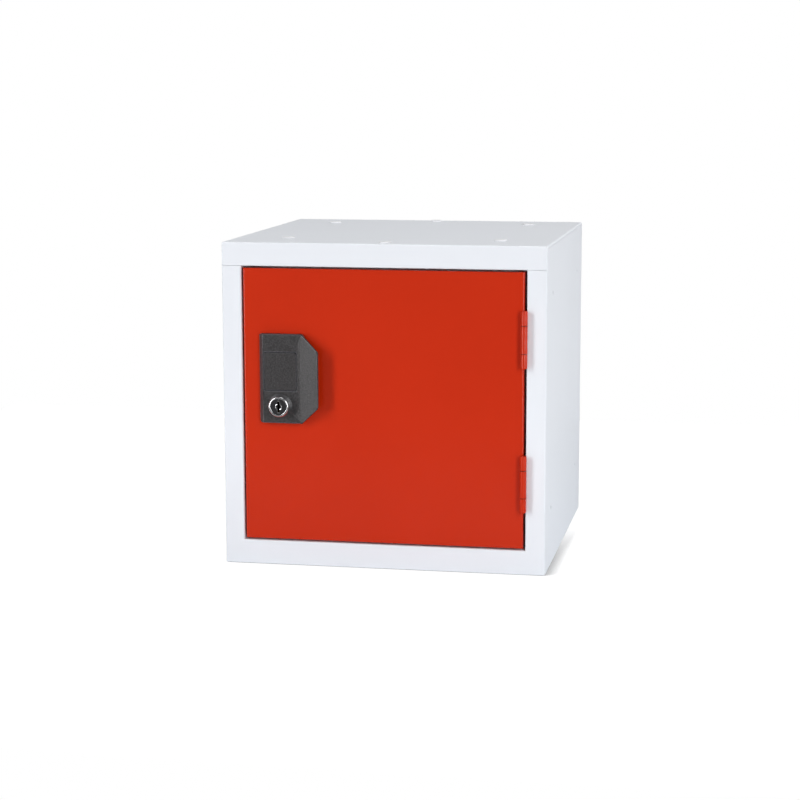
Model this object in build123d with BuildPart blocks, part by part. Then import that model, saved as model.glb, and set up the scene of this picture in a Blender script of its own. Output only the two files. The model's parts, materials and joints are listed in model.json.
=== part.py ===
# Cube locker: a small steel storage cube with one hinged door, a moulded pull and a cam lock.
# The shell is folded from sheet (both sides and the front frame) and closed by a top, a base and a back.
# Frame: X to the right seen from the front, Y towards the back, Z up, in millimetres.
# The origin is the centre of the base, on the surface that the locker stands on.

import os

from build123d import *

# Carcass
width = 305.0
depth = 305.0
height = 305.0
sheet = 0.8
seam_fit = 0.1
top_bend = 1.8
front_bend = 1.4
opening_bend = 1.1
top_flange = 2.4
return_height = 8.0
frame_side = 18.3
frame_top = 22.0
frame_base = 22.5
return_depth = 20.0
strike_lip = 9.0
top_stop = 8.0
base_stop = 8.0
hinge_stop = 5.0
panel_flange = 9.0
panel_notch = 13.5
seam_width = 0.25
overcut = 1.0

# Fixing holes and the caps that close those in the top
fixing_pitch = 203.2
fixing_back = 4.0
fixing_radius = 4.0
middle_fixing_inset = 14.0
side_fixing_pitch_y = 214.0
side_fixing_radius = 2.0
cap_radius = 6.2
cap_dome = 1.4
cap_edge = 0.8
cap_stem = 3.0
cap_fit = 0.1

# Door
door_inset = 0.5
door_depth = 16.0
door_bend = 1.6
lock_gap = 1.8
hinge_gap = 2.4
top_gap = 2.0
base_gap = 1.6
door_lip = 9.0

# Hinges
hinge_pitch = 134.0
hinge_length = 52.2
hinge_leaf = 1.0
hinge_proud = 3.4
hinge_shift = 0.8
knuckle_radius = 3.0
knuckle_share = 0.5
knuckle_gap = 0.2
pin_radius = 1.8
pin_fit = 0.05
pin_head = 0.5
pin_head_rim = 0.5
leaf_depth = 15.0
rivet_pitch = 30.0
rivet_radius = 1.6
rivet_tail_radius = 2.3
rivet_tail = 1.3

# Rubber buffers on the strike lip
buffer_pitch = 176.0
buffer_head_radius = 3.9
buffer_stem_radius = 2.2
buffer_bulb_radius = 3.0
buffer_bulb = 1.8
buffer_edge = 0.6
buffer_fit = 0.3

# Moulded lock housing, with a flared finger pull on its right side
housing_from_door_edge = 36.2
housing_z = 178.4
housing_height = 84.0
housing_flat = 41.2
housing_face = 6.0
housing_edge = 1.5
housing_bevel = 4.0
wing_width = 17.0
wing_rise = 6.4
wing_wall = 2.8
wing_cut = 15.6
wing_root = 3.5
housing_corner = 2.6
wing_corner = 4.0
housing_wall = 2.4
housing_edge_chamfer = 0.5
recess_slope = 0.5
boss_radius = 4.2
screw_pitch = 70.0
screw_beside_lock = 13.5
screw_radius = 1.75
screw_head_radius = 3.4
screw_head = 2.0
screw_reach = 3.6
screw_fit = 0.25
screw_slot = 0.8

# Blank number plate in its recess
plate_width = 31.2
plate_height = 36.1
plate_drop = 0.7
plate_thickness = 0.9
plate_gap = 0.35
plate_above_lock = 32.2
plate_corner = 1.0

# Cam lock
lock_below_middle = 25.4
head_base_radius = 11.6
head_radius = 9.2
head_proud = 8.0
head_skirt = 1.0
head_rim = 1.6
head_edge = 0.5
barrel_radius = 8.0
barrel_fit = 0.15
plug_radius = 5.9
plug_fit = 0.05
plug_flange = 2.0
plug_drop = 0.6
key_slot_width = 2.2
key_slot_height = 10.4
key_slot_depth = 24.0
key_eye_radius = 2.5
key_eye_depth = 1.2
wafer_count = 6
wafer_pitch = 2.6
wafer_thickness = 1.1
wafer_width = 4.6
wafer_height = 10.6
wafer_fit = 0.1
wafer_first = 4.0
wafer_window_width = 2.6
wafer_window_height = 8.0
washer_radius = 12.0
washer_thickness = 0.8
nut_flats = 22.0
nut_thickness = 4.0
nut_edge = 0.8
nut_sides = 6
cam_clear = 1.0
cam_thickness = 2.0
cam_reach = 34.6
cam_width = 14.0
cam_arm = 12.0
cam_tip = 7.4
cam_tip_length = 3.5
cam_square = 6.6
cam_fit = 0.1
cam_screw_radius = 2.0
cam_screw_head_radius = 4.4
cam_screw_head = 2.4
cam_screw_edge = 0.8
cam_screw_reach = 6.0
cam_screw_slot = 1.0
star_washer_radius = 5.6
star_washer_thickness = 0.6

# Places that follow from the sizes above
front = -depth / 2
back = depth / 2
opening_half = width / 2 - frame_side
opening_top = height - frame_top
opening_base = frame_base
opening_middle = (opening_top + opening_base) / 2
inner_half = width / 2 - sheet - seam_fit
lip_back = front + return_depth
lip_front = lip_back - sheet
door_front = front + door_inset
door_back = door_front + door_depth
door_left = -opening_half + lock_gap
door_right = opening_half - hinge_gap
door_base = opening_base + base_gap
door_top = opening_top - top_gap
buffer_x = -opening_half + strike_lip / 2
buffer_heights = (opening_middle - buffer_pitch / 2, opening_middle + buffer_pitch / 2)

bore_radius = pin_radius + pin_fit
pin_x = opening_half - hinge_gap / 2 - hinge_shift
pin_y = front - hinge_proud
hinge_heights = {"upper": opening_middle + hinge_pitch / 2, "lower": opening_middle - hinge_pitch / 2}
middle_knuckle = hinge_length * knuckle_share
leaf_back = front + leaf_depth
rivet_y = front + leaf_depth / 2
rivet_heights = [middle + side * rivet_pitch / 2 for middle in hinge_heights.values() for side in (-1, 1)]

housing_x = door_left + housing_from_door_edge
housing_left = housing_x - housing_flat / 2
housing_fold = housing_x + housing_flat / 2
housing_right = housing_fold + wing_width
housing_bottom = housing_z - housing_height / 2
housing_top = housing_z + housing_height / 2
housing_front = door_front - housing_face
lock_z = housing_z - lock_below_middle
plate_z = lock_z + plate_above_lock
head_front = housing_front - head_proud
plug_front = head_front + plug_drop
flange_back = plug_front + plug_flange
flange_radius = head_radius - head_rim - plug_fit
cam_front = lip_back + cam_clear
barrel_back = cam_front - plug_fit
nut_front = door_front + sheet + washer_thickness
screw_x = housing_x + screw_beside_lock
screw_heights = (housing_z - screw_pitch / 2, housing_z + screw_pitch / 2)

top_fixings = [
    (x, y)
    for x in (-fixing_pitch / 2, fixing_pitch / 2)
    for y in (fixing_back - fixing_pitch / 2, fixing_back + fixing_pitch / 2)
] + [(0, front + middle_fixing_inset), (0, back - middle_fixing_inset)]
side_fixings = [
    (y, z)
    for y in (-side_fixing_pitch_y / 2, side_fixing_pitch_y / 2)
    for z in (height / 2 + fixing_back - fixing_pitch / 2, height / 2 + fixing_back + fixing_pitch / 2)
]


def block(x_span, y_span, z_span, mode=Mode.ADD):
    """A box between two values on each axis, added to the open part."""
    sizes = [high - low for low, high in (x_span, y_span, z_span)]
    middles = [(low + high) / 2 for low, high in (x_span, y_span, z_span)]
    with Locations(tuple(middles)):
        Box(*sizes, mode=mode)


def facing(y):
    """The plane at depth y that faces the front, with its local X along X and its local Y along Z."""
    return Plane(origin=(0, y, 0), x_dir=(1, 0, 0), z_dir=(0, -1, 0))


def front_bore(x, z, radius, y_from, y_to, mode=Mode.SUBTRACT):
    """A round hole or a round boss along Y between two depths."""
    with BuildSketch(facing(y_from)) as circle:
        with Locations((x, z)):
            Circle(radius)
    extrude(circle.sketch, amount=-(y_to - y_from), mode=mode)


parts = {}


def keep(name, part):
    part.label = name
    parts[name] = part


# Outer skin that the shell and the top are cut from
with BuildPart() as skin_hollow:
    hollow_half = width / 2 - sheet
    block((-hollow_half, hollow_half), (front + sheet, back + overcut), (-overcut, height - sheet))

with BuildPart() as skin:
    Box(width, depth, height, align=(Align.CENTER, Align.CENTER, Align.MIN))
    fillet(skin.edges().filter_by(Axis.Y).group_by(Axis.Z)[-1], radius=top_bend)
    skin_front = skin.faces().sort_by(Axis.Y)[0].edges()
    fillet(skin_front.sort_by(Axis.Z)[1:], radius=front_bend)
    add(skin_hollow.part, mode=Mode.SUBTRACT)

all_x = (-width, width)
opening_x = (-opening_half, opening_half)
opening_z = (opening_base, opening_top)
walls_y = (front + sheet / 2, lip_back)
stops_y = (lip_front, lip_back)
frame_bend_y = front + front_bend
side_top = height - top_flange - seam_width
seat = height - sheet - seam_fit

# Folded shell: both sides with the front frame folded in and back, and flanges that the top sits on
with BuildPart() as shell:
    add(skin.part)
    block(all_x, (front - overcut, frame_bend_y), (opening_top, height + overcut), Mode.SUBTRACT)
    block(all_x, (front - overcut, back + overcut), (side_top, height + overcut), Mode.SUBTRACT)
    block(opening_x, (front - overcut, front + sheet + overcut), opening_z, Mode.SUBTRACT)
    block((-opening_half - sheet, -opening_half), walls_y, opening_z)
    block((opening_half, opening_half + sheet), walls_y, opening_z)
    block((-opening_half - sheet, opening_half + sheet), walls_y, (opening_base - sheet, opening_base))
    block((-opening_half, -opening_half + strike_lip), stops_y, opening_z)
    block((opening_half - hinge_stop, opening_half), stops_y, opening_z)
    block(opening_x, stops_y, (opening_base, opening_base + base_stop))
    mouth = [
        edge
        for edge in shell.edges().group_by(Axis.Y)[0]
        if abs(edge.center().X) < opening_half + seam_fit and abs(edge.center().Z) > sheet
    ]
    fillet([edge for edge in mouth if edge.center().Z < opening_top - sheet], radius=opening_bend)
    return_y = (lip_back, back - panel_notch)
    for side in (-1, 1):
        upright = sorted((side * (hollow_half - sheet), side * hollow_half))
        block(upright, return_y, (side_top - return_height, seat))
        inward = sorted((side * (hollow_half - panel_flange), side * hollow_half))
        block(inward, return_y, (seat - sheet, seat))
    top_corners = [
        edge
        for edge in shell.edges().filter_by(Axis.Y).group_by(Axis.Z)[-1]
        if abs(edge.center().X) > hollow_half - sheet / 2
    ]
    chamfer(top_corners, length=top_bend - sheet / 2)
    for rivet_z in rivet_heights:
        with Locations(Location((opening_half, rivet_y, rivet_z), (0, 90, 0))):
            Cylinder(rivet_radius, 4 * sheet, mode=Mode.SUBTRACT)
    for buffer_z in buffer_heights:
        front_bore(buffer_x, buffer_z, buffer_stem_radius, lip_front - overcut, lip_back + overcut)
    with BuildSketch(Plane.YZ.offset(-width)):
        with Locations(*side_fixings):
            Circle(side_fixing_radius)
    extrude(amount=2 * width, mode=Mode.SUBTRACT)
keep("folded_shell", shell.part)

# Top: its front edge is folded down, back and down again over the opening, and its sides just turned down
with BuildPart() as top:
    add(skin.part)
    block(all_x, (frame_bend_y, back + overcut), (-overcut, height - top_flange), Mode.SUBTRACT)
    block(all_x, (front - overcut, frame_bend_y), (-overcut, opening_top + seam_width), Mode.SUBTRACT)
    inner_x = (-opening_half + seam_fit, opening_half - seam_fit)
    fold_top = opening_top + 2 * opening_bend
    block(inner_x, (front - overcut, front + sheet), (opening_top, fold_top), Mode.SUBTRACT)
    with BuildSketch(Plane.YZ.offset(inner_x[0])) as fold:
        with BuildLine():
            Polyline(
                (front, fold_top),
                (front, opening_top),
                (lip_back, opening_top),
                (lip_back, opening_top + sheet),
                (front + sheet, opening_top + sheet),
                (front + sheet, fold_top),
                close=True,
            )
        make_face()
        fillet(fold.vertices().group_by(Axis.X)[0].sort_by(Axis.Y)[0], radius=opening_bend)
    extrude(amount=inner_x[1] - inner_x[0])
    stop_x = (-opening_half + strike_lip + seam_fit, opening_half - hinge_stop - seam_fit)
    block(stop_x, stops_y, (opening_top - top_stop, opening_top + sheet))
    with BuildSketch(Plane.XY.offset(height)):
        with Locations(*top_fixings):
            Circle(fixing_radius)
    extrude(amount=-2 * sheet, mode=Mode.SUBTRACT)
keep("top_panel", top.part)

# Base tray: a floor with its edges folded up inside the shell
with BuildPart() as base:
    floor_front = front + sheet + seam_fit
    floor_back = back - sheet - seam_fit
    block((-inner_half, inner_half), (floor_front, floor_back), (0, sheet))
    fillet(base.edges().filter_by(Axis.Z).group_by(Axis.Y)[0], radius=front_bend)
    for side in (-1, 1):
        flange = sorted((side * (inner_half - sheet), side * inner_half))
        block(flange, (lip_back + sheet, back - panel_notch), (0, panel_flange))
    for flange_front in (floor_front, floor_back - sheet):
        flange = (flange_front, flange_front + sheet)
        block((-inner_half + panel_flange, inner_half - panel_flange), flange, (0, panel_flange))
    with BuildSketch(Plane.XY):
        with Locations(*top_fixings):
            Circle(fixing_radius)
    extrude(amount=2 * sheet, mode=Mode.SUBTRACT)
keep("base_panel", base.part)

# Back panel: a shallow tray between the sides, under the top
with BuildPart() as back_tray:
    tray_top = height - sheet - seam_fit
    block((-inner_half, inner_half), (back - sheet, back), (0, tray_top))
    fillet(back_tray.edges().filter_by(Axis.Y).group_by(Axis.Z)[-1], radius=top_bend)
    for side in (-1, 1):
        flange = sorted((side * (inner_half - sheet), side * inner_half))
        block(flange, (back - panel_flange, back), (panel_notch, tray_top - panel_flange))
    flange = (-inner_half + panel_flange, inner_half - panel_flange)
    block(flange, (back - panel_flange, back), (tray_top - sheet, tray_top))
keep("back_panel", back_tray.part)

# White caps that close the six fixing holes in the top
with BuildPart() as caps:
    with Locations(*[(x, y, height + cap_dome / 2) for x, y in top_fixings]):
        Cylinder(cap_radius, cap_dome)
    chamfer(caps.edges().filter_by(GeomType.CIRCLE).group_by(Axis.Z)[-1], length=cap_edge)
    with Locations(*[(x, y, height - cap_stem / 2) for x, y in top_fixings]):
        Cylinder(fixing_radius - cap_fit, cap_stem)
keep("top_hole_caps", caps.part)

# Rubber buffers pressed through the strike lip, which the closed door rests on
with BuildPart() as buffers:
    for buffer_z in buffer_heights:
        front_bore(buffer_x, buffer_z, buffer_head_radius, door_back + buffer_fit, lip_front, Mode.ADD)
        front_bore(buffer_x, buffer_z, buffer_stem_radius, lip_front, lip_back, Mode.ADD)
        front_bore(buffer_x, buffer_z, buffer_bulb_radius, lip_back, lip_back + buffer_bulb, Mode.ADD)
    chamfer(buffers.edges().filter_by(GeomType.CIRCLE).group_by(Axis.Y)[0], length=buffer_edge)
keep("door_buffers", buffers.part)


def knuckle_spans(hinge_z, on_door):
    """The heights of the knuckles on one leaf: the middle one for the door, the outer two for the frame."""
    half = hinge_length / 2
    middle = middle_knuckle / 2
    if on_door:
        return [(hinge_z - middle, hinge_z + middle)]
    inner = middle + knuckle_gap
    return [(hinge_z - half, hinge_z - inner), (hinge_z + inner, hinge_z + half)]


def hinge_leaf_part(hinge_z, on_door):
    """One hinge leaf: a plate in the gap beside the door, rolled round the pin where it has a knuckle."""
    if on_door:
        plate_x = (door_right, door_right + hinge_leaf)
    else:
        plate_x = (opening_half - hinge_leaf, opening_half)
    with BuildPart() as leaf:
        block(plate_x, (front, leaf_back), (hinge_z - hinge_length / 2, hinge_z + hinge_length / 2))
        for low, high in knuckle_spans(hinge_z, on_door):
            block(plate_x, (pin_y, front), (low, high))
            with BuildSketch(Plane.XY.offset(low)):
                with Locations((pin_x, pin_y)):
                    Circle(knuckle_radius)
            extrude(amount=high - low)
            with BuildSketch(Plane.XY.offset(low)):
                with Locations((pin_x, pin_y)):
                    Circle(bore_radius)
            extrude(amount=high - low, mode=Mode.SUBTRACT)
        if not on_door:
            for offset_z in (-rivet_pitch / 2, rivet_pitch / 2):
                with Locations(Location((opening_half, rivet_y, hinge_z + offset_z), (0, 90, 0))):
                    Cylinder(rivet_radius, 4 * hinge_leaf, mode=Mode.SUBTRACT)
    return leaf.part


def hinge_pin_part(hinge_z):
    """A pin through the knuckles, with a shallow head at each end."""
    with BuildPart() as pin:
        with Locations((pin_x, pin_y, hinge_z)):
            Cylinder(pin_radius, hinge_length)
        for side in (-1, 1):
            with Locations((pin_x, pin_y, hinge_z + side * (hinge_length + pin_head) / 2)):
                Cylinder(pin_radius + pin_head_rim, pin_head)
    return pin.part


for place, hinge_z in hinge_heights.items():
    keep(f"{place}_hinge_frame_leaf", hinge_leaf_part(hinge_z, False))
    keep(f"{place}_hinge_door_leaf", hinge_leaf_part(hinge_z, True))
    keep(f"{place}_hinge_pin", hinge_pin_part(hinge_z))

# Countersunk rivets that hold the frame leaves to the inner wall of the frame
with BuildPart() as rivets:
    spans = (
        (opening_half - hinge_leaf, opening_half + sheet, rivet_radius),
        (opening_half + sheet, opening_half + sheet + rivet_tail, rivet_tail_radius),
    )
    for rivet_z in rivet_heights:
        for x_from, x_to, radius in spans:
            with Locations(Location(((x_from + x_to) / 2, rivet_y, rivet_z), (0, 90, 0))):
                Cylinder(radius, x_to - x_from)
keep("hinge_rivets", rivets.part)

# Door: a folded tray with its edges turned back and then inwards
with BuildPart() as door_hollow:
    block(
        (door_left + sheet, door_right - sheet),
        (door_front + sheet, door_back + overcut),
        (door_base + sheet, door_top - sheet),
    )

with BuildPart() as door:
    block((door_left, door_right), (door_front, door_back), (door_base, door_top))
    fillet(door.faces().sort_by(Axis.Y)[0].edges(), radius=door_bend)
    add(door_hollow.part, mode=Mode.SUBTRACT)
    with BuildSketch(facing(door_back - sheet)):
        with Locations(((door_left + door_right) / 2, (door_base + door_top) / 2)):
            Rectangle(door_right - door_left, door_top - door_base)
            Rectangle(
                door_right - door_left - 2 * door_lip,
                door_top - door_base - 2 * door_lip,
                mode=Mode.SUBTRACT,
            )
    extrude(amount=-sheet)
    front_bore(housing_x, lock_z, barrel_radius + barrel_fit, door_front - overcut, door_front + 2 * sheet)
    for screw_z in screw_heights:
        front_bore(screw_x, screw_z, screw_radius + screw_fit, door_front - overcut, door_front + 2 * sheet)
keep("door_skin", door.part)

# Lock housing: the section across it is drawn once, run from top to bottom and trimmed to the outline
with BuildPart() as housing:
    with BuildSketch(Plane.XY.offset(housing_bottom)):
        with BuildLine():
            Polyline(
                (housing_left, door_front),
                (housing_left, door_front - housing_edge),
                (housing_left + housing_bevel, housing_front),
                (housing_fold, housing_front),
                (housing_right, housing_front - wing_rise),
                (housing_right, housing_front - wing_rise + wing_wall),
                (housing_fold + wing_root, housing_front + wing_wall - wing_rise * wing_root / wing_width),
                (housing_fold, door_front),
                close=True,
            )
        make_face()
    extrude(amount=housing_height)
    with BuildSketch(facing(head_front)) as outline:
        with BuildLine():
            Polyline(
                (housing_left, housing_bottom),
                (housing_fold, housing_bottom),
                (housing_right, housing_bottom + wing_cut),
                (housing_right, housing_top - wing_cut),
                (housing_fold, housing_top),
                (housing_left, housing_top),
                close=True,
            )
        make_face()
        fillet(outline.vertices().group_by(Axis.X)[0], radius=housing_corner)
        fillet(outline.vertices().group_by(Axis.X)[-1], radius=wing_corner)
    extrude(amount=-(door_front - head_front + overcut), mode=Mode.INTERSECT)
    outer_edges = [
        edge
        for edge in housing.edges()
        if edge.bounding_box().max.Y < housing_front + housing_bevel / 2
        and edge.length > housing_bevel
        and abs(edge.center().Z - housing_z) > housing_height / 2 - wing_cut
    ]
    chamfer(outer_edges, length=housing_edge_chamfer)
    with BuildSketch(facing(housing_front)):
        with Locations((housing_x, plate_z)):
            RectangleRounded(plate_width, plate_height, plate_corner)
    extrude(amount=-(plate_drop + plate_thickness), mode=Mode.SUBTRACT)
    front_edges = housing.edges().filter_by_position(Axis.Y, housing_front, housing_front)
    recess_rim = [
        edge
        for edge in front_edges
        if abs(edge.center().X - housing_x) < (plate_width + plate_gap) / 2
        and abs(edge.center().Z - plate_z) < (plate_height + plate_gap) / 2
    ]
    chamfer(recess_rim, length=recess_slope)
    with BuildSketch(facing(door_front)):
        with Locations((housing_x + housing_bevel / 2, housing_z)):
            RectangleRounded(
                housing_flat - housing_bevel - 2 * housing_wall,
                housing_height - 2 * housing_wall,
                housing_corner,
            )
        with Locations((housing_x, lock_z)):
            Circle(barrel_radius + housing_wall, mode=Mode.SUBTRACT)
        with Locations(*[(screw_x, screw_z) for screw_z in screw_heights]):
            Circle(boss_radius, mode=Mode.SUBTRACT)
    extrude(amount=housing_face - plate_drop - plate_thickness - housing_wall / 2, mode=Mode.SUBTRACT)
    front_bore(housing_x, lock_z, barrel_radius + barrel_fit, housing_front - overcut, door_front + overcut)
    for screw_z in screw_heights:
        front_bore(screw_x, screw_z, screw_radius, door_front - screw_reach, door_front + overcut)
keep("lock_housing", housing.part)

# Blank number plate, snapped into the recess of the housing
with BuildPart() as plate:
    with BuildSketch(facing(housing_front + plate_drop)):
        with Locations((housing_x, plate_z)):
            RectangleRounded(plate_width - 2 * plate_gap, plate_height - 2 * plate_gap, plate_corner)
    extrude(amount=-plate_thickness)
keep("number_plate", plate.part)

# Two screws from inside the door into the bosses of the housing
with BuildPart() as screws:
    screw_seat = door_front + sheet
    for screw_z in screw_heights:
        front_bore(screw_x, screw_z, screw_radius, door_front - screw_reach, screw_seat, Mode.ADD)
        front_bore(screw_x, screw_z, screw_head_radius, screw_seat, screw_seat + screw_head, Mode.ADD)
        block(
            (screw_x - screw_head_radius, screw_x + screw_head_radius),
            (screw_seat + screw_head / 2, screw_seat + screw_head + overcut),
            (screw_z - screw_slot / 2, screw_z + screw_slot / 2),
            Mode.SUBTRACT,
        )
keep("housing_screws", screws.part)

# Lock shell: a tapered bright head on a barrel that passes through the housing and the door
with BuildPart() as lock_shell:
    with BuildSketch(Plane.XY.offset(lock_z)):
        with BuildLine():
            Polyline(
                (housing_x + plug_radius + plug_fit, flange_back + plug_fit),
                (housing_x + flange_radius + plug_fit, flange_back + plug_fit),
                (housing_x + flange_radius + plug_fit, head_front),
                (housing_x + head_radius, head_front),
                (housing_x + head_base_radius, housing_front - head_skirt),
                (housing_x + head_base_radius, housing_front),
                (housing_x + barrel_radius, housing_front),
                (housing_x + barrel_radius, barrel_back),
                (housing_x + plug_radius + plug_fit, barrel_back),
                close=True,
            )
        make_face()
    revolve(axis=Axis((housing_x, 0, lock_z), (0, 1, 0)))
    head_circles = lock_shell.edges().filter_by(GeomType.CIRCLE).group_by(Axis.Y)[0]
    chamfer(head_circles.sort_by(SortBy.RADIUS)[-1], length=head_edge)
keep("lock_shell", lock_shell.part)

# Spur washer and hexagon nut that clamp the lock shell to the door skin
with BuildPart() as washer:
    washer_front = door_front + sheet
    with BuildSketch(facing(washer_front)):
        with Locations((housing_x, lock_z)):
            Circle(washer_radius)
            Circle(barrel_radius, mode=Mode.SUBTRACT)
    extrude(amount=-washer_thickness)
keep("lock_washer", washer.part)

with BuildPart() as nut:
    with BuildSketch(facing(nut_front)):
        with Locations((housing_x, lock_z)):
            RegularPolygon(nut_flats / 2, nut_sides, major_radius=False)
            Circle(barrel_radius, mode=Mode.SUBTRACT)
    extrude(amount=-nut_thickness)
    chamfer(nut.edges().filter_by(GeomType.LINE).group_by(Axis.Y)[-1], length=nut_edge)
keep("lock_nut", nut.part)

# Lock plug: flange, slotted body and the square end that drives the cam
wafer_places = [flange_back + wafer_first + wafer_pitch * index for index in range(wafer_count)]
plug_square_end = cam_front + cam_thickness
with BuildPart() as plug:
    front_bore(housing_x, lock_z, flange_radius, plug_front, flange_back, Mode.ADD)
    front_bore(housing_x, lock_z, plug_radius, flange_back, cam_front, Mode.ADD)
    square = (housing_x - cam_square / 2, housing_x + cam_square / 2)
    square_z = (lock_z - cam_square / 2, lock_z + cam_square / 2)
    block(square, (cam_front, plug_square_end), square_z)
    front_bore(housing_x, lock_z, key_eye_radius, plug_front, plug_front + key_eye_depth)
    slot_z = (lock_z - key_slot_height / 2, lock_z + key_slot_height / 2)
    slot_x = (housing_x - key_slot_width / 2, housing_x + key_slot_width / 2)
    block(slot_x, (plug_front - overcut, plug_front + key_slot_depth), slot_z, Mode.SUBTRACT)
    for wafer_y in wafer_places:
        block(
            (housing_x - wafer_width / 2 - wafer_fit, housing_x + wafer_width / 2 + wafer_fit),
            (wafer_y - wafer_fit, wafer_y + wafer_thickness + wafer_fit),
            (lock_z - plug_radius, lock_z + plug_radius),
            Mode.SUBTRACT,
        )
    screw_end = plug_square_end - cam_screw_reach
    front_bore(housing_x, lock_z, cam_screw_radius, screw_end, plug_square_end + overcut)
keep("lock_plug", plug.part)

# Wafers of the lock, drawn in to the plug as the key holds them
with BuildPart() as wafers:
    for wafer_y in wafer_places:
        with BuildSketch(facing(wafer_y)):
            with Locations((housing_x, lock_z)):
                Rectangle(wafer_width, wafer_height)
                Rectangle(wafer_window_width, wafer_window_height, mode=Mode.SUBTRACT)
        extrude(amount=-wafer_thickness)
keep("lock_wafers", wafers.part)

# Cam: hangs down when unlocked, and turns behind the strike lip to lock
with BuildPart() as cam:
    with BuildSketch(facing(cam_front)):
        with Locations((housing_x, lock_z)):
            Circle(cam_width / 2)
        with Locations((housing_x, lock_z)):
            Rectangle(cam_arm, cam_reach - cam_tip_length, align=(Align.CENTER, Align.MAX))
            Rectangle(cam_tip, cam_reach, align=(Align.CENTER, Align.MAX))
        with Locations((housing_x, lock_z)):
            Rectangle(cam_square + cam_fit, cam_square + cam_fit, mode=Mode.SUBTRACT)
    extrude(amount=-cam_thickness)
keep("lock_cam", cam.part)

with BuildPart() as star_washer:
    with BuildSketch(facing(plug_square_end)):
        with Locations((housing_x, lock_z)):
            Circle(star_washer_radius)
            Circle(cam_screw_radius, mode=Mode.SUBTRACT)
    extrude(amount=-star_washer_thickness)
keep("cam_washer", star_washer.part)

with BuildPart() as cam_screw:
    screw_seat = plug_square_end + star_washer_thickness
    front_bore(housing_x, lock_z, cam_screw_radius, screw_end, screw_seat, Mode.ADD)
    front_bore(housing_x, lock_z, cam_screw_head_radius, screw_seat, screw_seat + cam_screw_head, Mode.ADD)
    chamfer(cam_screw.edges().filter_by(GeomType.CIRCLE).group_by(Axis.Y)[-1], length=cam_screw_edge)
    block(
        (housing_x - cam_screw_head_radius, housing_x + cam_screw_head_radius),
        (screw_seat + cam_screw_head / 2, screw_seat + cam_screw_head + overcut),
        (lock_z - cam_screw_slot / 2, lock_z + cam_screw_slot / 2),
        Mode.SUBTRACT,
    )
keep("cam_screw", cam_screw.part)

os.makedirs("parts", exist_ok=True)
for name, part in parts.items():
    export_step(part, f"parts/{name}.step")
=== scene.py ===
"""Cube locker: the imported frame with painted, moulded and plated finishes, in a plain studio."""

import json
import math

import bpy
from mathutils import Euler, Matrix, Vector


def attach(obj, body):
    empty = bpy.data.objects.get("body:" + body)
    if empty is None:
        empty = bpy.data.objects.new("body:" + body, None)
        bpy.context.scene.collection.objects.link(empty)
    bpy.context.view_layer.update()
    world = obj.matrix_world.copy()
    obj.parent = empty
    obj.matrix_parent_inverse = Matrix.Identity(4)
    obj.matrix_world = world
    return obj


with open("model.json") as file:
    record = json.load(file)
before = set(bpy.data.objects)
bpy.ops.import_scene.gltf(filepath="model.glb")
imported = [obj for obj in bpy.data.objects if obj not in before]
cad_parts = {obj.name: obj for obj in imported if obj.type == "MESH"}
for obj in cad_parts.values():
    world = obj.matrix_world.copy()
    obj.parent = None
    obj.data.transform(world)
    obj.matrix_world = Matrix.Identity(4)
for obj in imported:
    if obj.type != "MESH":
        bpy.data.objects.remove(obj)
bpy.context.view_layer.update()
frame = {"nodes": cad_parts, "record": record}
nodes = frame["nodes"]
scene = bpy.context.scene


# Colours and node trees


def linear(srgb):
    """An sRGB colour of 0 to 255 as the linear colour that Blender's sockets take."""
    channels = [value / 255 for value in srgb]
    return [c / 12.92 if c <= 0.04045 else ((c + 0.055) / 1.055) ** 2.4 for c in channels] + [1.0]


def shade(colour, factor):
    """A colour made darker or lighter by a factor."""
    return [channel * factor for channel in colour[:3]] + [1.0]


def fill(tree, node, inputs):
    """Link or set the inputs of a node, each given by its name or its number."""
    for key, value in inputs.items():
        if isinstance(value, bpy.types.NodeSocket):
            tree.links.new(value, node.inputs[key])
        else:
            node.inputs[key].default_value = value


def add(tree, kind, inputs=None, **settings):
    """A new node in a tree, with its settings and inputs."""
    node = tree.nodes.new(kind)
    for key, value in settings.items():
        setattr(node, key, value)
    fill(tree, node, inputs or {})
    return node


def noise(tree, place, scale, detail):
    """A cloudy value between 0 and 1."""
    inputs = {"Vector": place, "Scale": scale, "Detail": detail}
    return add(tree, "ShaderNodeTexNoise", inputs).outputs["Fac"]


def ramp(tree, factor, ends, low_colour, high_colour):
    """A colour that runs from one to another between two values of the factor."""
    node = add(tree, "ShaderNodeValToRGB", {"Fac": factor})
    first, last = node.color_ramp.elements
    first.position, last.position = ends
    first.color, last.color = low_colour, high_colour
    return node.outputs["Color"]


def between(tree, value, low, high, start=0.0, end=1.0, **settings):
    """A number that runs from low to high as the value runs from start to end."""
    inputs = {"Value": value, "From Min": start, "From Max": end, "To Min": low, "To Max": high}
    return add(tree, "ShaderNodeMapRange", inputs, **settings).outputs["Result"]


def greater(tree, first, second):
    """The greater of two values."""
    return add(tree, "ShaderNodeMath", {0: first, 1: second}, operation="MAXIMUM").outputs["Value"]


def mixed(tree, factor, first, second):
    """The first shader where the factor is 0, and the second where it is 1."""
    return add(tree, "ShaderNodeMixShader", {0: factor, 1: first, 2: second}).outputs[0]


def relief(tree, height, strength, depth):
    """The normal of a surface made uneven by a height of 0 to 1, which the depth turns into metres."""
    inputs = {"Height": height, "Strength": strength, "Distance": depth}
    return add(tree, "ShaderNodeBump", inputs).outputs["Normal"]


def object_place(tree):
    """The place on the object, in metres along its own axes."""
    return add(tree, "ShaderNodeTexCoord").outputs["Object"]


def ray_is(tree, kinds):
    """1 for rays of the listed kinds, else 0."""
    outputs = add(tree, "ShaderNodeLightPath").outputs
    total = outputs[kinds[0]]
    for kind in kinds[1:]:
        total = greater(tree, total, outputs[kind])
    return total


# Finishes, kept by name: scales are in noise cells per metre, depths in metres

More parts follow.
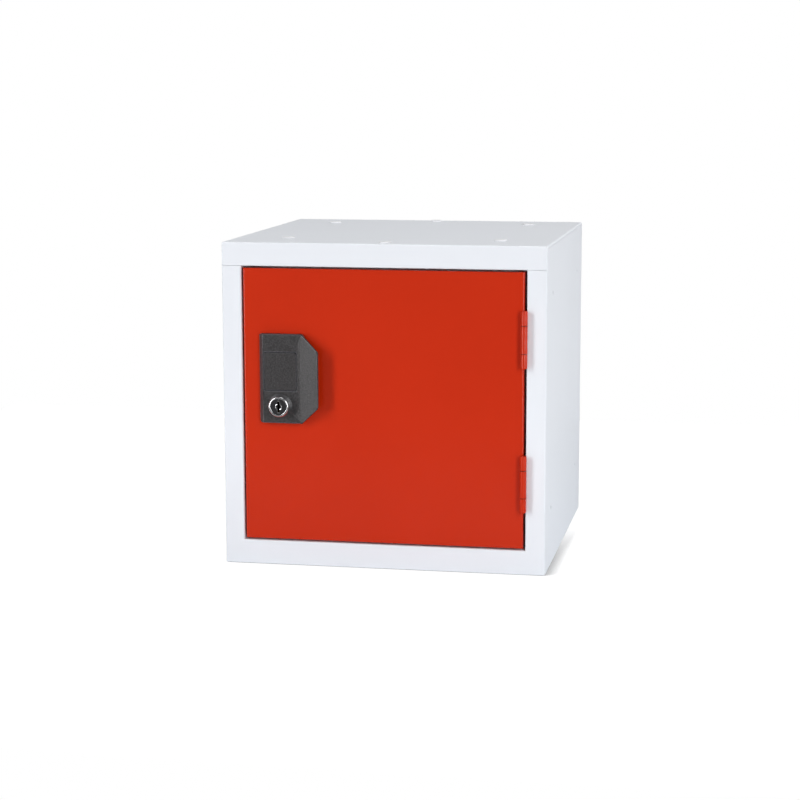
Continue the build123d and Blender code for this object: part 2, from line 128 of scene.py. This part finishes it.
finishes = {}
tone_ends = (0.3, 0.7)


def new_finish(name):
    """A new node material, kept in finishes, as its tree and its shader."""
    made = bpy.data.materials.new(name)
    made.use_nodes = True
    finishes[name] = made
    return made.node_tree, made.node_tree.nodes["Principled BSDF"]


# Powder coat
drift_scale = 9.0
drift_detail = 2.0
peel_scale = 620.0
peel_detail = 1.5
peel_depth = 0.0002
sheen_spread = 0.03


def enamel(name, colour, roughness, specular, peel, drift):
    """Powder coat: a faint drift of tone, orange-peel bump and a satin sheen that varies a little."""
    tree, shader = new_finish(name)
    place = object_place(tree)
    broad = noise(tree, place, drift_scale, drift_detail)
    fine = noise(tree, place, peel_scale, peel_detail)
    looks = {
        "Base Color": ramp(tree, broad, tone_ends, shade(colour, 1 - drift), shade(colour, 1 + drift)),
        "Roughness": between(tree, broad, roughness - sheen_spread, roughness + sheen_spread),
        "Normal": relief(tree, fine, peel, peel_depth),
        "Specular IOR Level": specular,
    }
    fill(tree, shader, looks)


enamel("white_enamel", (0.885, 0.912, 0.96), roughness=0.5, specular=0.2, peel=0.10, drift=0.006)
enamel("red_enamel", (0.605, 0.027, 0.0035), roughness=0.20, specular=0.4, peel=0.10, drift=0.02)
# The near-black red below paints shade: on the bevelled ends of each door leaf's knuckle it stands in for
# the shadow in the joints between the knuckles.
enamel("painted_joint_shade", (0.10, 0.006, 0.004), roughness=0.6, specular=0.1, peel=0.10, drift=0.02)


# Moulded plastic and rubber
grain_ends = (0.35, 0.65)
grain_detail = 3.0
pits_per_grain = 1.3
grain_depth = 0.0003
grain_sheen_spread = 0.05


def moulding(name, colour, roughness, grain, scale, mottle):
    """Moulded plastic with a spark-eroded grain, its tone mottled by a share of the colour."""
    tree, shader = new_finish(name)
    place = object_place(tree)
    grains = noise(tree, place, scale, grain_detail)
    pits = add(tree, "ShaderNodeTexVoronoi", {"Vector": place, "Scale": scale * pits_per_grain})
    both = {0: grains, 1: pits.outputs["Distance"]}
    height = add(tree, "ShaderNodeMath", both, operation="MULTIPLY").outputs["Value"]
    looks = {
        "Base Color": ramp(tree, grains, grain_ends, shade(colour, 1 - mottle), shade(colour, 1 + mottle)),
        "Roughness": between(tree, grains, roughness - grain_sheen_spread, roughness + grain_sheen_spread),
        "Normal": relief(tree, height, grain, grain_depth),
    }
    fill(tree, shader, looks)


moulding("black_plastic", linear((57, 55, 56)), roughness=0.40, grain=0.8, scale=800.0, mottle=0.4)
# The lighter plastic below paints highlights: on the bevelled edges of the lock housing and the number plate
# its lighter tone stands in for the light they catch, while its lower roughness is real polish.
moulding("polished_plastic_highlight", linear((84, 84, 88)), roughness=0.28, grain=0.2, scale=900.0, mottle=0.2)
moulding("white_plastic", linear((238, 239, 242)), roughness=0.40, grain=0.08, scale=700.0, mottle=0.015)
moulding("black_rubber", linear((38, 38, 38)), roughness=0.75, grain=0.2, scale=900.0, mottle=0.1)


# Metal
marks_detail = 4.0
marks_depth = 0.0001
marks_tone = 0.88
smoothest = 0.8
roughest = 1.3


def metal(name, colour, roughness, brushing, cells):
    """Plated or turned metal with fine marks, drawn out along the axes that have fewer cells per metre."""
    tree, shader = new_finish(name)
    place = object_place(tree)
    drawn = add(tree, "ShaderNodeMapping", {"Vector": place, "Scale": cells}).outputs["Vector"]
    marks = noise(tree, drawn, 1.0, marks_detail)
    looks = {
        "Base Color": ramp(tree, marks, tone_ends, shade(colour, marks_tone), colour),
        "Roughness": between(tree, marks, roughness * smoothest, roughness * roughest),
        "Normal": relief(tree, marks, brushing, marks_depth),
        "Metallic": 1.0,
    }
    fill(tree, shader, looks)


metal("bright_chrome", linear((238, 238, 241)), roughness=0.18, brushing=0.04, cells=(900, 300, 900))
metal("dark_plug", linear((92, 92, 95)), roughness=0.30, brushing=0.12, cells=(1400, 200, 1400))
metal("plated_steel", linear((190, 191, 196)), roughness=0.30, brushing=0.10, cells=(500, 500, 900))
metal("brass_wafer", linear((196, 164, 96)), roughness=0.30, brushing=0.10, cells=(500, 900, 500))

for subpart in frame["record"]["subparts"]:
    part = nodes[subpart["node"]]
    part.data.materials.clear()
    part.data.materials.append(finishes[subpart["material_slot"]])


# Broken edges, rounded as paint and moulding leave them, which catch the light; some take a colour of their
# own that paints shade or highlight on them

facet_join = 0.000002
bevel_segments = 2
large_faces_first = 100
frame_leaf_edge = 0.0002
door_leaf_edge = 0.0005
housing_edge = 0.0004
plate_edge = 0.0003
head_edge = 0.0003


def break_edges(name, width, edge_painted_light=None, least_angle=50, clamped=False):
    """A bevel on the sharp edges of a node, in a material of its own where one is given, whose colour paints
    the edges' shade or highlight.
    """
    part = nodes[name]
    if edge_painted_light:
        part.data.materials.append(finishes[edge_painted_light])
    weld = part.modifiers.new("joined_facets", "WELD")
    weld.merge_threshold = facet_join
    bevel = part.modifiers.new("broken_edges", "BEVEL")
    bevel.width = width
    bevel.segments = bevel_segments
    bevel.limit_method = "ANGLE"
    bevel.angle_limit = math.radians(least_angle)
    bevel.material = 1 if edge_painted_light else -1
    bevel.use_clamp_overlap = clamped
    even = part.modifiers.new("even_normals", "WEIGHTED_NORMAL")
    even.weight = large_faces_first


# The door leaves' bevels take the dark red that paints the shadow in the joints between the knuckles.
for place in ("upper", "lower"):
    break_edges(f"{place}_hinge_frame_leaf", frame_leaf_edge)
    break_edges(f"{place}_hinge_door_leaf", door_leaf_edge, "painted_joint_shade")
# The housing's and the plate's bevels take the lighter plastic, a painted highlight along their edges.
break_edges("lock_housing", housing_edge, "polished_plastic_highlight", least_angle=30)
break_edges("number_plate", plate_edge, "polished_plastic_highlight")
break_edges("lock_shell", head_edge, clamped=True)


# Polished edge of the keyway: a narrow raised strip round the slot and the round eye at its middle

slot_half_width = 0.0011
slot_half_height = 0.0052
eye_radius = 0.0025
edge_width = 0.0006
edge_proud = 0.00013
edge_steps = 120
least_slope = 0.001

plug_corners = [nodes["lock_plug"].matrix_world @ Vector(c) for c in nodes["lock_plug"].bound_box]
plug_x = (min(c.x for c in plug_corners) + max(c.x for c in plug_corners)) / 2
plug_z = (min(c.z for c in plug_corners) + max(c.z for c in plug_corners)) / 2
plug_face = min(c.y for c in plug_corners)


def keyway_reach(angle):
    """How far the keyway opens from its middle in one direction."""
    across = slot_half_width / max(abs(math.cos(angle)), least_slope)
    along = slot_half_height / max(abs(math.sin(angle)), least_slope)
    return max(eye_radius, min(across, along))


rows = ((0.0, 0.0), (edge_width / 2, edge_proud), (edge_width, 0.0))
edge_points = []
edge_faces = []
for step in range(edge_steps):
    angle = 2 * math.pi * step / edge_steps
    for outward, proud in rows:
        radius = keyway_reach(angle) + outward
        x, z = plug_x + radius * math.cos(angle), plug_z + radius * math.sin(angle)
        edge_points.append((x, plug_face - proud, z))
    here, following = step * len(rows), (step + 1) % edge_steps * len(rows)
    for row in range(len(rows) - 1):
        edge_faces.append((here + row, here + row + 1, following + row + 1, following + row))
edge_mesh = bpy.data.meshes.new("keyway_edge")
edge_mesh.from_pydata(edge_points, [], edge_faces)
edge_mesh.materials.append(finishes["bright_chrome"])
keyway_edge = bpy.data.objects.new("keyway_edge", edge_mesh)
scene.collection.objects.link(keyway_edge)
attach(keyway_edge, "lock_cylinder")


# Floor: white paper to the camera with a painted contact shadow round the object, pale to bounced light and
# dim in mirrors

floor_reach = 0.7
floor_drop = -0.0004
floor_colour = (0.77, 0.80, 0.83, 1)
floor_roughness = 0.9
dim_colour = (0.34, 0.34, 0.34, 1)
contact_distance = 0.016
contact_samples = 16
toward_light = {"X": -0.66, "Y": -0.3, "Z": 0.69}
contact_open = (0.25, 0.85)
contact_glow = (0.12, 0.85)
shadow_fades_from = -0.13
shadow_gone_at = 0.07

floor_mesh = bpy.data.meshes.new("studio_floor")
corners = ((-1, -1), (1, -1), (1, 1), (-1, 1))
floor_points = [(x * floor_reach, y * floor_reach, floor_drop) for x, y in corners]
floor_mesh.from_pydata(floor_points, [], [(0, 1, 2, 3)])
floor = bpy.data.objects.new("studio_floor", floor_mesh)
scene.collection.objects.link(floor)

tree, floor_shader = new_finish("floor_white")
floor_looks = {"Base Color": floor_colour, "Roughness": floor_roughness, "Specular IOR Level": 0.0}
fill(tree, floor_shader, floor_looks)
# Painted shadow: the paper's glow is dimmed where occlusion finds the object close by, sampled round a
# normal tilted to the left so that the shade falls on the right side, and faded out towards the back.
tilted = add(tree, "ShaderNodeCombineXYZ", toward_light).outputs["Vector"]
contact_inputs = {"Distance": contact_distance, "Normal": tilted}
contact = add(tree, "ShaderNodeAmbientOcclusion", contact_inputs, samples=contact_samples).outputs["AO"]
painted_contact_shadow = between(tree, contact, *contact_glow, *contact_open)
position = add(tree, "ShaderNodeNewGeometry").outputs["Position"]
depth = add(tree, "ShaderNodeSeparateXYZ", {"Vector": position}).outputs["Y"]
fade = between(tree, depth, 0.0, contact_glow[1], shadow_fades_from, shadow_gone_at)
paper = add(tree, "ShaderNodeEmission", {"Strength": greater(tree, painted_contact_shadow, fade)}).outputs[0]
dim = add(tree, "ShaderNodeBsdfDiffuse", {"Color": dim_colour}).outputs[0]
white = add(tree, "ShaderNodeAddShader", {0: dim, 1: paper}).outputs[0]
bounced = mixed(tree, ray_is(tree, ["Is Diffuse Ray"]), dim, floor_shader.outputs[0])
floor_surface = mixed(tree, ray_is(tree, ["Is Camera Ray"]), bounced, white)
fill(tree, tree.nodes["Material Output"], {"Surface": floor_surface})
floor_mesh.materials.append(finishes["floor_white"])


# World: white to the camera, and mirrored as a studio that is white behind the object and dim before it

ambient_strength = 0.11
dim_reflection = 0.22
bright_reflection = 0.85
dim_until = -0.05
bright_from = 0.45
white_light = (1, 1, 1, 1)

world = bpy.data.worlds.new("studio")
scene.world = world
world.use_nodes = True
tree = world.node_tree
direction = add(tree, "ShaderNodeTexCoord").outputs["Generated"]
backward = add(tree, "ShaderNodeSeparateXYZ", {0: direction}).outputs["Y"]
reflection = between(
    tree,
    backward,
    dim_reflection,
    bright_reflection,
    dim_until,
    bright_from,
    interpolation_type="SMOOTHSTEP",
)
ambient = tree.nodes["Background"]
fill(tree, ambient, {"Color": white_light, "Strength": ambient_strength})
reflected = add(tree, "ShaderNodeBackground", {"Strength": reflection}).outputs[0]
seen = add(tree, "ShaderNodeBackground", {"Color": white_light, "Strength": 1.0}).outputs[0]
unseen = mixed(tree, ray_is(tree, ["Is Glossy Ray", "Is Transmission Ray"]), ambient.outputs[0], reflected)
world_surface = mixed(tree, ray_is(tree, ["Is Camera Ray"]), unseen, seen)
fill(tree, tree.nodes["World Output"], {"Surface": world_surface})


# Lamps aimed at the middle of the front, the two tall ones placed where the bright edges mirror them

middle = Vector((0.0, -0.15, 0.15))


def softbox(name, azimuth, elevation, distance, size, power):
    """An area lamp round the object: azimuth 0 is in front of the door, and positive to the right."""
    around, above = math.radians(azimuth), math.radians(elevation)
    away = Vector((math.sin(around) * math.cos(above), -math.cos(around) * math.cos(above), math.sin(above)))
    lamp = bpy.data.lights.new(name, "AREA")
    lamp.shape = "RECTANGLE"
    lamp.size, lamp.size_y = size
    lamp.energy = power
    holder = bpy.data.objects.new(name, lamp)
    holder.location = middle + away * distance
    holder.rotation_euler = away.to_track_quat("Z", "Y").to_euler()
    scene.collection.objects.link(holder)


softbox("right_softbox", azimuth=42, elevation=14, distance=2.6, size=(0.7, 2.3), power=36.0)
softbox("left_softbox", azimuth=-48, elevation=14, distance=2.6, size=(0.6, 2.3), power=39.5)
softbox("overhead_softbox", azimuth=150, elevation=78, distance=2.4, size=(1.4, 1.4), power=19.0)
softbox("back_softbox", azimuth=195, elevation=-6, distance=2.6, size=(1.4, 0.8), power=22.0)
softbox("side_softbox", azimuth=98, elevation=16, distance=2.4, size=(2.2, 2.2), power=18.5)


# Camera, fitted to the corners of the box and of the opening in the photograph

photo_width = 800
focal_length_pixels = 2014.69
sensor_width = 36.0
camera_place = (0.36511, -1.9603, 0.45812)
camera_turn = (80.8259, 0.1195, 10.8946)

camera_data = bpy.data.cameras.new("photo_camera")
camera_data.sensor_width = sensor_width
camera_data.lens = focal_length_pixels / photo_width * sensor_width
camera = bpy.data.objects.new("photo_camera", camera_data)
camera.location = camera_place
camera.rotation_euler = Euler([math.radians(angle) for angle in camera_turn], "XYZ")
scene.collection.objects.link(camera)
scene.camera = camera
scene.view_settings.view_transform = "Standard"
